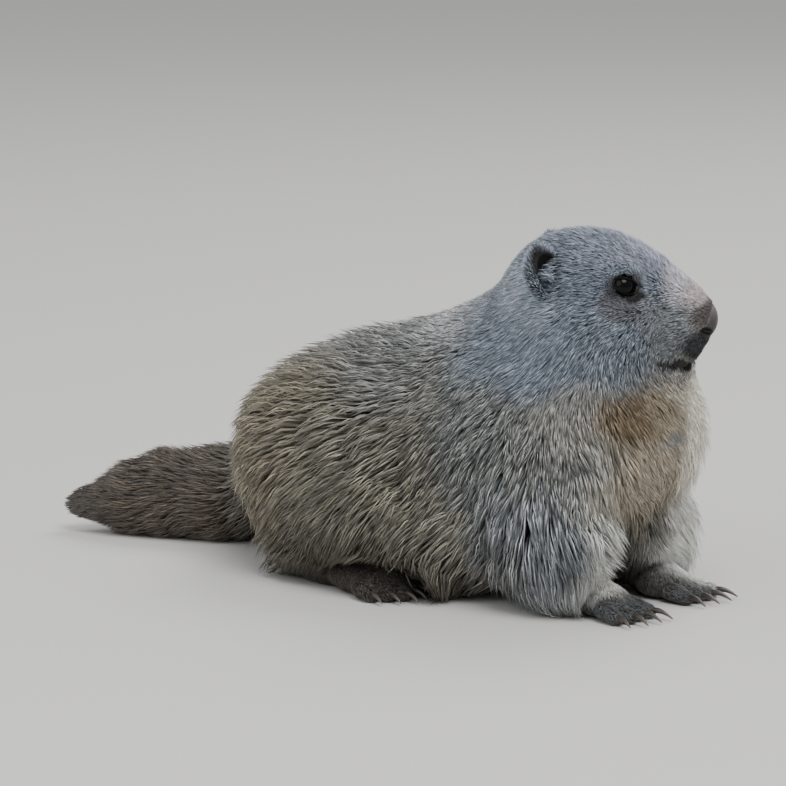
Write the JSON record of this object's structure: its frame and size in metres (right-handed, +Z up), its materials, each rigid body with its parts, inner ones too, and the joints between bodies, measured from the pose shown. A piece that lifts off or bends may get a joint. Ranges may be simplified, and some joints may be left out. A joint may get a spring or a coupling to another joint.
{
  "type": "alpine marmot model",
  "caption": "Still, life-size alpine marmot sitting on its haunches, forefeet down, head turned to its left.",
  "frame": {"origin": "on the ground, under the middle of the animal's outline", "axes": "+X towards the front of the body, +Y to the animal's left, +Z up"},
  "size_m": [0.4252, 0.184, 0.2017],
  "materials": {
    "grey_coat": "long, dense fur, grey with buff tips, matt",
    "head_coat": "short silver-grey fur, matt",
    "dark_coat": "short dark brown-grey fur, matt",
    "ear": "short downy fur over thin skin, matt",
    "nose": "bare, finely pitted skin, slightly moist",
    "eye": "dark, wet and very glossy",
    "claw": "dark horn with a soft shine"
  },
  "bodies": {
    "root": {"ear_left": "ear", "ear_right": "ear", "eye_left": "eye", "eye_right": "eye", "foreleg_left": "grey_coat", "foreleg_right": "grey_coat", "forepaw_left": "dark_coat", "forepaw_left_claw_1": "claw", "forepaw_left_claw_2": "claw", "forepaw_left_claw_3": "claw", "forepaw_left_claw_4": "claw", "forepaw_right": "dark_coat", "forepaw_right_claw_1": "claw", "forepaw_right_claw_2": "claw", "forepaw_right_claw_3": "claw", "forepaw_right_claw_4": "claw", "head": "head_coat", "hindleg_left": "grey_coat", "hindleg_right": "grey_coat", "hindpaw_left": "dark_coat", "hindpaw_left_claw_1": "claw", "hindpaw_left_claw_2": "claw", "hindpaw_left_claw_3": "claw", "hindpaw_left_claw_4": "claw", "hindpaw_left_claw_5": "claw", "hindpaw_right": "dark_coat", "hindpaw_right_claw_1": "claw", "hindpaw_right_claw_2": "claw", "hindpaw_right_claw_3": "claw", "hindpaw_right_claw_4": "claw", "hindpaw_right_claw_5": "claw", "neck": "grey_coat", "nose": "nose", "tail": "dark_coat", "torso": "grey_coat"}
  },
  "joints": []
}
